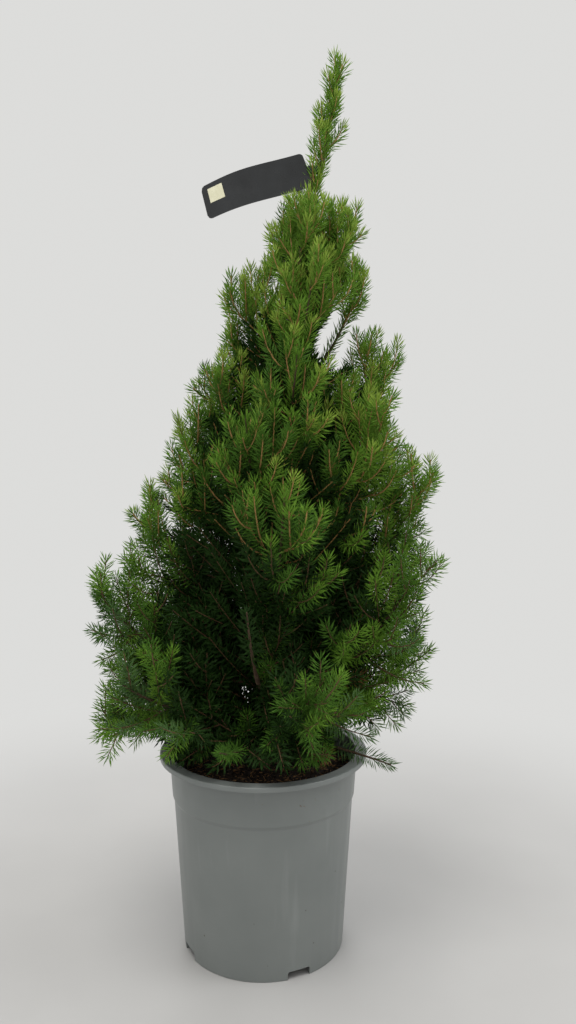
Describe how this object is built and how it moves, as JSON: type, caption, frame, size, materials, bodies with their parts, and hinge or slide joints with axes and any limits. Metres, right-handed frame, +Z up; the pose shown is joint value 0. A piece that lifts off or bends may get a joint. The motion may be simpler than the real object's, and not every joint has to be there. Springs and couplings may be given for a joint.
{
  "type": "potted dwarf alberta spruce",
  "caption": "Dwarf conifer with a dense cone of short needles and a thin leader, in a grey nursery pot with a blank label.",
  "frame": {"origin": "middle of the flat underside of the pot, on the surface that it stands on", "axes": "+Z up along the pot's axis, the tree's tip leans towards +X, -Y faces the viewer"},
  "size_m": [0.4192, 0.3666, 1.0136],
  "materials": {
    "pot": "satin",
    "soil": "matte",
    "bark": "matte",
    "needles": "satin",
    "label": "satin"
  },
  "bodies": {
    "root": {"pot": "pot", "soil": "soil", "trunk": "bark", "label": "label", "bough_skirt_1": "bark", "bough_skirt_2": "bark", "bough_skirt_3": "bark", "bough_skirt_4": "bark", "bough_skirt_5": "bark", "bough_low_1": "bark", "bough_low_2": "bark", "bough_low_3": "bark", "bough_low_4": "bark", "bough_low_5": "bark", "bough_broad_1": "bark", "bough_broad_2": "bark", "bough_broad_3": "bark", "bough_broad_4": "bark", "bough_broad_5": "bark", "bough_waist_1": "bark", "bough_waist_2": "bark", "bough_waist_3": "bark", "bough_waist_4": "bark", "needles_skirt_1": "needles", "needles_skirt_2": "needles", "needles_skirt_3": "needles", "needles_skirt_4": "needles", "needles_skirt_5": "needles", "needles_low_1": "needles", "needles_low_2": "needles", "needles_low_3": "needles", "needles_low_4": "needles", "needles_low_5": "needles", "needles_broad_1": "needles", "needles_broad_2": "needles", "needles_broad_3": "needles", "needles_broad_4": "needles", "needles_broad_5": "needles", "needles_waist_1": "needles", "needles_waist_2": "needles", "needles_waist_3": "needles", "needles_waist_4": "needles", "needles_mid_1": "needles", "needles_mid_2": "needles", "needles_mid_3": "needles", "needles_mid_4": "needles", "needles_mid_5": "needles", "needles_high_1": "needles", "needles_high_2": "needles", "needles_high_3": "needles", "needles_high_4": "needles", "needles_neck_1": "needles", "needles_neck_2": "needles", "needles_neck_3": "needles", "needles_neck_4": "needles", "needles_crest_1": "needles", "needles_crest_2": "needles", "needles_crest_3": "needles", "needles_leader": "needles"}
  },
  "joints": []
}
